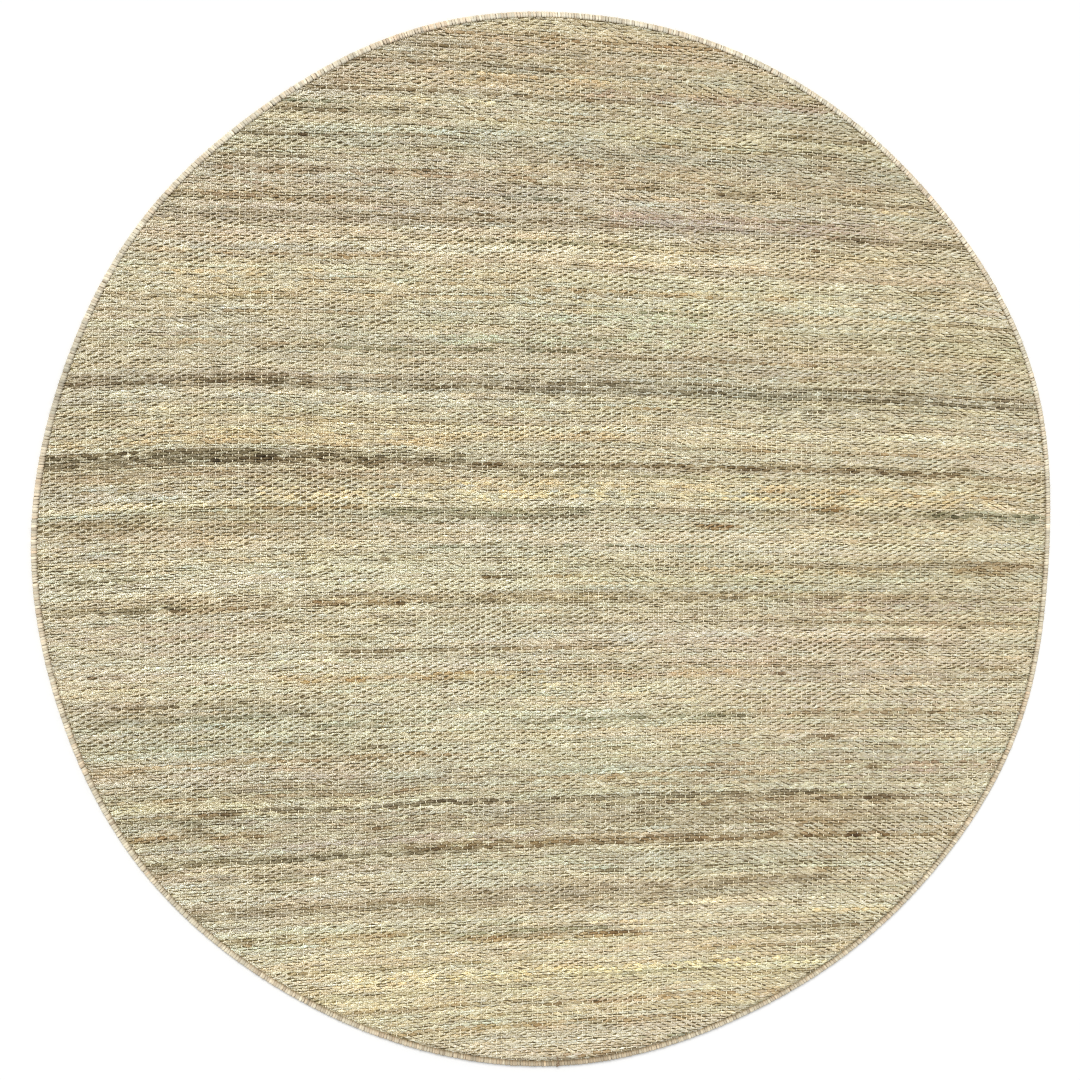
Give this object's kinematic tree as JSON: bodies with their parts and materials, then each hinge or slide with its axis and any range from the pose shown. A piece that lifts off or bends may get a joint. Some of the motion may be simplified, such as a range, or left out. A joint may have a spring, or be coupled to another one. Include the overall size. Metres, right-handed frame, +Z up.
{
  "type": "round jute rug",
  "caption": "Round flat-woven jute floor rug: a single woven disc lying flat, its cut edge overcast with yarn all the way round.",
  "frame": {"origin": "middle of the rug's underside, on the floor", "axes": "+Z up out of the floor, +X along the weft, +Y along the warp"},
  "size_m": [1.7952, 1.8066, 0.0078],
  "materials": {
    "jute_weave": "matte straw-coloured jute weft with grey-brown streaks over thin cream cotton warp",
    "binding_yarn": "matte cream to peach yarn, overcast"
  },
  "bodies": {
    "root": {"rug_field": "jute_weave", "edge_binding": "binding_yarn"}
  },
  "joints": []
}
